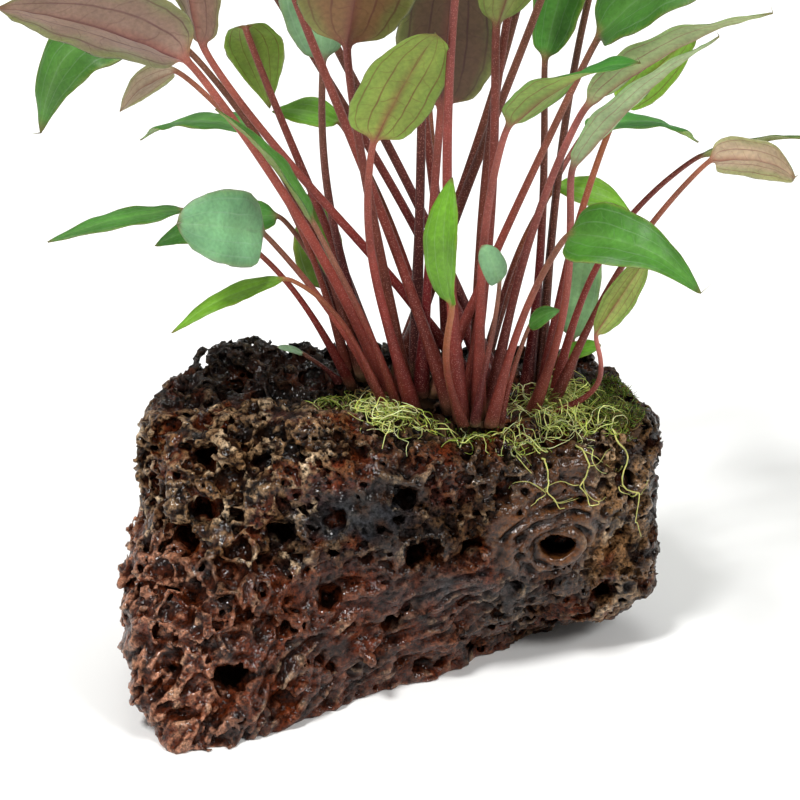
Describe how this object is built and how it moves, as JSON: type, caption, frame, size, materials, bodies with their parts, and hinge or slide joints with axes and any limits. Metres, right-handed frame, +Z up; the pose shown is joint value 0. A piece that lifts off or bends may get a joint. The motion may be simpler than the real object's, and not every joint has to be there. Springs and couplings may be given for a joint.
{
  "type": "cryptocoryne on stone",
  "caption": "Leafy aquarium plant with long reddish petioles and spear-shaped green blades, growing from the top of a rough porous lava stone cut flat underneath.",
  "frame": {"origin": "on the ground, under the stone, on its flat underside", "axes": "+Z up out of the stone along the plant, +X to the right and +Y to the back as the picture shows it"},
  "size_m": [0.2215, 0.2062, 0.2781],
  "materials": {
    "lava_stone": "rough, wet-looking, porous lava",
    "rhizome": "matt plant tissue",
    "moss": "fine matt threads",
    "root": "matt plant tissue",
    "leaf": "satin plant tissue: green blade on a maroon petiole"
  },
  "bodies": {
    "root": {"lava_stone": "lava_stone", "rhizome_left": "rhizome", "rhizome_middle": "rhizome", "rhizome_front": "rhizome", "rhizome_right": "rhizome", "rhizome_back": "rhizome", "moss_left": "moss", "moss_front": "moss", "moss_right": "moss", "root_long": "root", "root_front": "root", "root_side": "root", "leaf_01": "leaf", "leaf_02": "leaf", "leaf_03": "leaf", "leaf_04": "leaf", "leaf_05": "leaf", "leaf_06": "leaf", "leaf_07": "leaf", "leaf_08": "leaf", "leaf_09": "leaf", "leaf_10": "leaf", "leaf_11": "leaf", "leaf_12": "leaf", "leaf_13": "leaf", "leaf_14": "leaf", "leaf_15": "leaf", "leaf_16": "leaf", "leaf_17": "leaf", "leaf_18": "leaf", "leaf_19": "leaf", "leaf_20": "leaf", "leaf_21": "leaf", "leaf_22": "leaf", "leaf_23": "leaf", "leaf_24": "leaf", "leaf_25": "leaf", "leaf_26": "leaf", "leaf_27": "leaf", "leaf_28": "leaf", "leaf_29": "leaf", "leaf_30": "leaf", "leaf_31": "leaf", "leaf_32": "leaf", "leaf_33": "leaf", "leaf_34": "leaf", "leaf_35": "leaf", "leaf_36": "leaf", "leaf_37": "leaf", "leaf_38": "leaf", "leaf_39": "leaf", "leaf_40": "leaf", "leaf_41": "leaf", "leaf_42": "leaf", "leaf_43": "leaf", "leaf_44": "leaf", "leaf_45": "leaf", "leaf_46": "leaf", "leaf_47": "leaf", "leaf_48": "leaf"}
  },
  "joints": []
}
